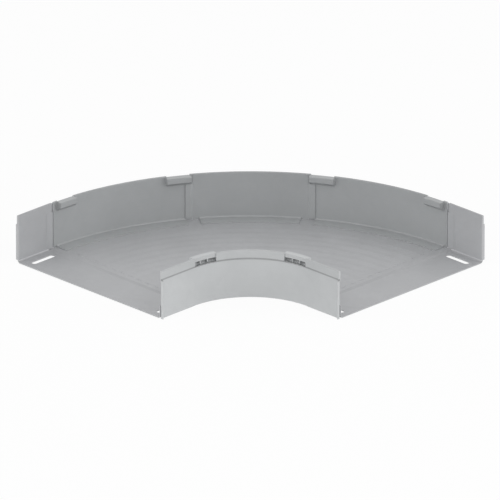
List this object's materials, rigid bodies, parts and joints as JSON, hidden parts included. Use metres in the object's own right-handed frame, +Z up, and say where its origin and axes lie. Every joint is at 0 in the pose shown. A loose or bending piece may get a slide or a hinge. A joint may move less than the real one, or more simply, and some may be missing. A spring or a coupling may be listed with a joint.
{
  "type": "cable tray bend",
  "caption": "Horizontal quarter-turn bend for a sheet-steel cable tray: an open channel with a beaded floor and hemmed sides.",
  "frame": {"origin": "on the underside, below the middle of the bend's bounding box", "axes": "+Z up out of the open channel; end A opens towards -Y at the +X side, end B opens towards -X at the +Y side; the bend's centre is on the -X -Y side"},
  "size_m": [0.329, 0.329, 0.051],
  "materials": {
    "floor_plate": "dull galvanised sheet steel, faint spangle",
    "inner_side": "dull galvanised sheet steel, faint spangle",
    "outer_plate_middle": "dull galvanised sheet steel, faint spangle",
    "outer_plate_a": "dull galvanised sheet steel, faint spangle",
    "outer_plate_b": "dull galvanised sheet steel, faint spangle"
  },
  "bodies": {
    "root": {"floor_plate": "floor_plate", "inner_side": "inner_side", "outer_plate_middle": "outer_plate_middle", "outer_plate_a": "outer_plate_a", "outer_plate_b": "outer_plate_b"}
  },
  "joints": []
}
